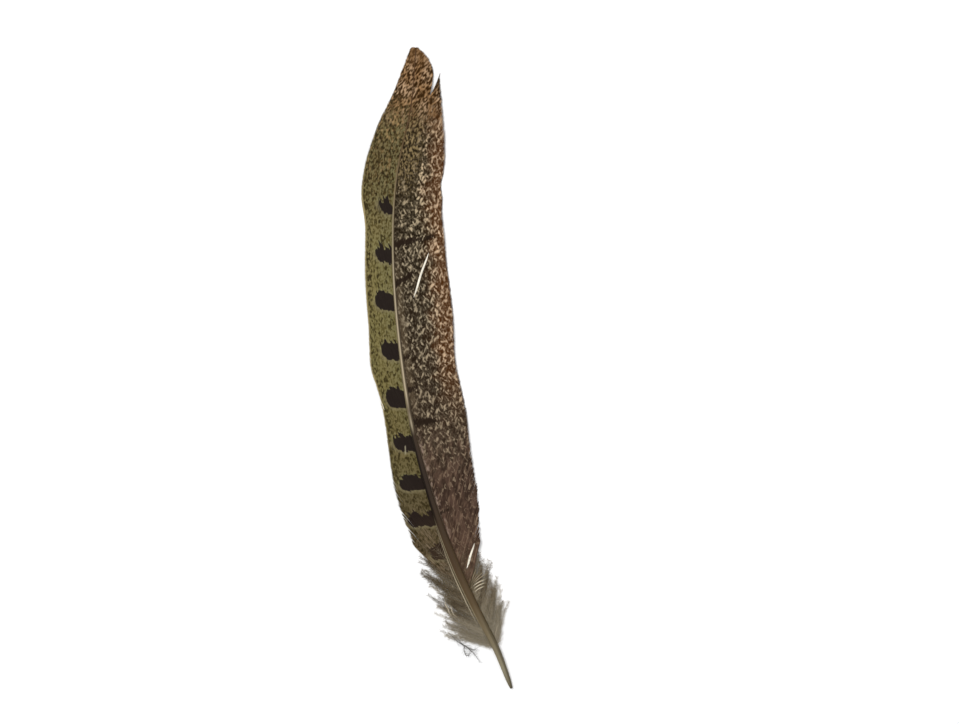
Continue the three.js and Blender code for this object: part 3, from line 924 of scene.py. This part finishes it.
def down_material():
    paint = Paint("down_barbs", Specular_IOR_Level=0.05, Roughness=0.8)
    tint = paint.field("chance")
    station = paint.field("station")
    colour = paint.ramp(
        tint,
        (0.0, seen(82, 66, 44)), (0.35, seen(120, 104, 78)), (0.7, seen(146, 130, 104)),
        (1.0, seen(206, 192, 166)),
    )
    colour = paint.over(colour, seen(88, 72, 50), paint.step(station, 26.0, 44.0), 0.55)
    colour = paint.over(colour, seen(184, 172, 148), paint.field("share"), 0.2)
    colour = paint.over(colour, seen(206, 196, 174), paint.step(station, 31.0, 17.0), 0.6)
    colour = paint.mix(paint.step(tint, -0.2, -0.6), colour, seen(62, 54, 42))
    colour = paint.mix(paint.step(tint, 1.1, 1.5), colour, seen(216, 202, 176))
    paint.give(paint.shader.inputs["Base Color"], colour)
    return paint.material

# Lines along the shaft: colour, stations from and to, where across it they begin and are full, and strength.
# Some are painted light and shade: the first row is painted shade down the right flank, the pale row from
# station 16 is painted light on the left side, and the row after it is painted shade on the right half.
SHAFT_LINES_AND_PAINTED_LIGHT = [
    # painted shade down the shaft's right flank
    (seen(58, 44, 28), 73.0, 168.0, 0.02, 0.34, 0.85),
    (seen(106, 94, 68), 76.0, 150.0, -0.12, -0.42, 0.88),
    (seen(22, 13, 5), 50.0, 90.0, -0.1, -0.4, 0.92),
    (seen(150, 132, 112), 50.0, 90.0, 0.8, 0.93, 0.7),
    # painted light on the shaft's left side low down
    (seen(168, 154, 124), 16.0, 58.0, -0.66, -0.86, 0.75),
    # painted shade on the shaft's right half low down
    (seen(84, 68, 46), 14.0, 50.0, 0.2, 0.7, 0.6),
    (seen(80, 72, 52), -20.0, 26.0, -0.1, 0.5, 0.7),
]
LINE_FADE = 9.0

def shaft_material():
    paint = Paint("horn", Specular_IOR_Level=0.12)
    station = paint.field("station")
    across = paint.field("across")
    up = paint.field("up")
    colour = paint.ramp(
        paint.math("DIVIDE", station, RAMP_LENGTH),
        (0.0, seen(104, 98, 78)), (0.03, seen(146, 140, 118)), (0.09, seen(124, 112, 88)),
        (0.14, seen(96, 80, 57)), (0.2, seen(78, 61, 42)), (0.33, seen(50, 38, 28)),
        (0.412, seen(60, 46, 34)), (0.428, seen(172, 160, 136)), (0.45, seen(112, 100, 84)),
        (0.475, seen(190, 176, 150)), (0.66, seen(184, 171, 146)), (0.74, seen(146, 134, 106)),
        (0.80, seen(124, 108, 78)), (0.86, seen(96, 76, 48)), (0.92, seen(82, 56, 28)),
        (1.0, seen(84, 58, 34)),
    )
    where = paint.spot(paint.times(station, 0.25), paint.times(across, 3.0), up)
    grain = paint.noise(where, 1.0, 4.0, 0.6)
    colour = paint.mix(0.3, colour, paint.mix(grain, seen(70, 56, 42), seen(190, 176, 150)), "OVERLAY")
    # Lines along the shaft, among them painted shade on its right and painted light on its left side
    for shade, low, high, begins, full, strength in SHAFT_LINES_AND_PAINTED_LIGHT:
        along = paint.band(station, low, low + LINE_FADE, high - LINE_FADE, high)
        colour = paint.over(colour, shade, paint.step(across, begins, full), along, strength)
    colour = paint.over(colour, seen(150, 136, 108), paint.step(up, 0.0, -0.4), 0.7)
    paint.give(paint.shader.inputs["Base Color"], colour)
    paint.give(paint.shader.inputs["Roughness"], paint.math("MULTIPLY_ADD", grain, 0.2, 0.32))
    ridges = paint.spot(paint.times(station, 0.12), paint.times(across, 9.0), up)
    paint.give(paint.shader.inputs["Normal"], paint.bump(paint.noise(ridges, 1.0, 3.0), 0.25, 0.0001))
    return paint.material

def add_piece(strands, material, smooth, node):
    piece = build(strands, smooth)
    piece.data.materials.append(material)
    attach(piece, "root")
    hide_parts(node)

add_piece(shaft_strand(), shaft_material(), True, "shaft")
outer_barbs = barb_strands(outer).joined(turned_strands_and_painted_light(outer))
inner_barbs = barb_strands(inner).joined(turned_strands_and_painted_light(inner))
add_piece(outer_barbs, outer_material(), False, "outer_vane")
add_piece(inner_barbs, inner_material(), False, "inner_vane")
fluff = down_material()
add_piece(down_barbs(-1, "outer_fluff"), fluff, True, "outer_down")
add_piece(down_barbs(1, "inner_fluff"), fluff, True, "inner_down")

# The surface, the light and the camera
def stage():
    bpy.ops.mesh.primitive_plane_add(size=4.0, location=(0, 0, 0))
    floor = bpy.context.object
    floor.name = "floor"
    paint = Paint("pale_surface", Roughness=0.9, Specular_IOR_Level=0.1)
    paint.shader.inputs["Base Color"].default_value = (PAPER, PAPER, PAPER, 1)
    floor.data.materials.append(paint.material)


def light(name, location, size, power):
    lamp = bpy.data.lights.new(name, "AREA")
    lamp.size = size
    lamp.energy = power
    made = bpy.data.objects.new(name, lamp)
    made.location = location
    made.rotation_euler = (Vector((0, 0, 0)) - Vector(location)).to_track_quat("-Z", "Y").to_euler()
    bpy.context.scene.collection.objects.link(made)


def sky(brightness):
    world = bpy.data.worlds.new("studio")
    world.use_nodes = True
    world.node_tree.nodes["Background"].inputs["Color"].default_value = (1, 1, 1, 1)
    world.node_tree.nodes["Background"].inputs["Strength"].default_value = brightness
    bpy.context.scene.world = world


# Where the photograph, 959 by 724 pixels, shows the quill's end and the tip, and how long that is
IMAGE = np.array([959, 724])
QUILL_PIXEL = np.array([511.5, 688.5])
TIP_PIXEL = np.array([416.0, 48.0])
CHORD = 200.75
LENS = 85.0
SENSOR = 36.0
FEATHER_LEVEL = 1.0  # mm above the surface where the scale is right


def camera():
    towards_tip = TIP_PIXEL - QUILL_PIXEL
    scale = CHORD / np.hypot(*towards_tip)
    roll = math.atan2(towards_tip[0], -towards_tip[1])
    right = np.array([math.cos(roll), math.sin(roll)])
    up = np.array([-math.sin(roll), math.cos(roll)])
    offset = (IMAGE / 2 - QUILL_PIXEL) * scale * MM
    middle = right * offset[0] - up * offset[1]
    distance = IMAGE[0] * scale * MM * LENS / SENSOR
    data = bpy.data.cameras.new("camera")
    data.lens = LENS
    data.sensor_width = SENSOR
    made = bpy.data.objects.new("camera", data)
    made.location = (quill_end.x + middle[0], quill_end.y + middle[1], distance + FEATHER_LEVEL * MM)
    made.rotation_euler = (0, 0, roll)
    bpy.context.scene.collection.objects.link(made)
    bpy.context.scene.camera = made


stage()
# Places and sizes are in metres, and powers in watts
light("key", (-0.55, 0.5, 1.1), 0.7, 13.0)
light("fill", (0.5, -0.2, 1.3), 1.2, 6.0)
sky(0.45)
camera()
bpy.context.scene.view_settings.view_transform = "Standard"

bpy.context.view_layer.update()
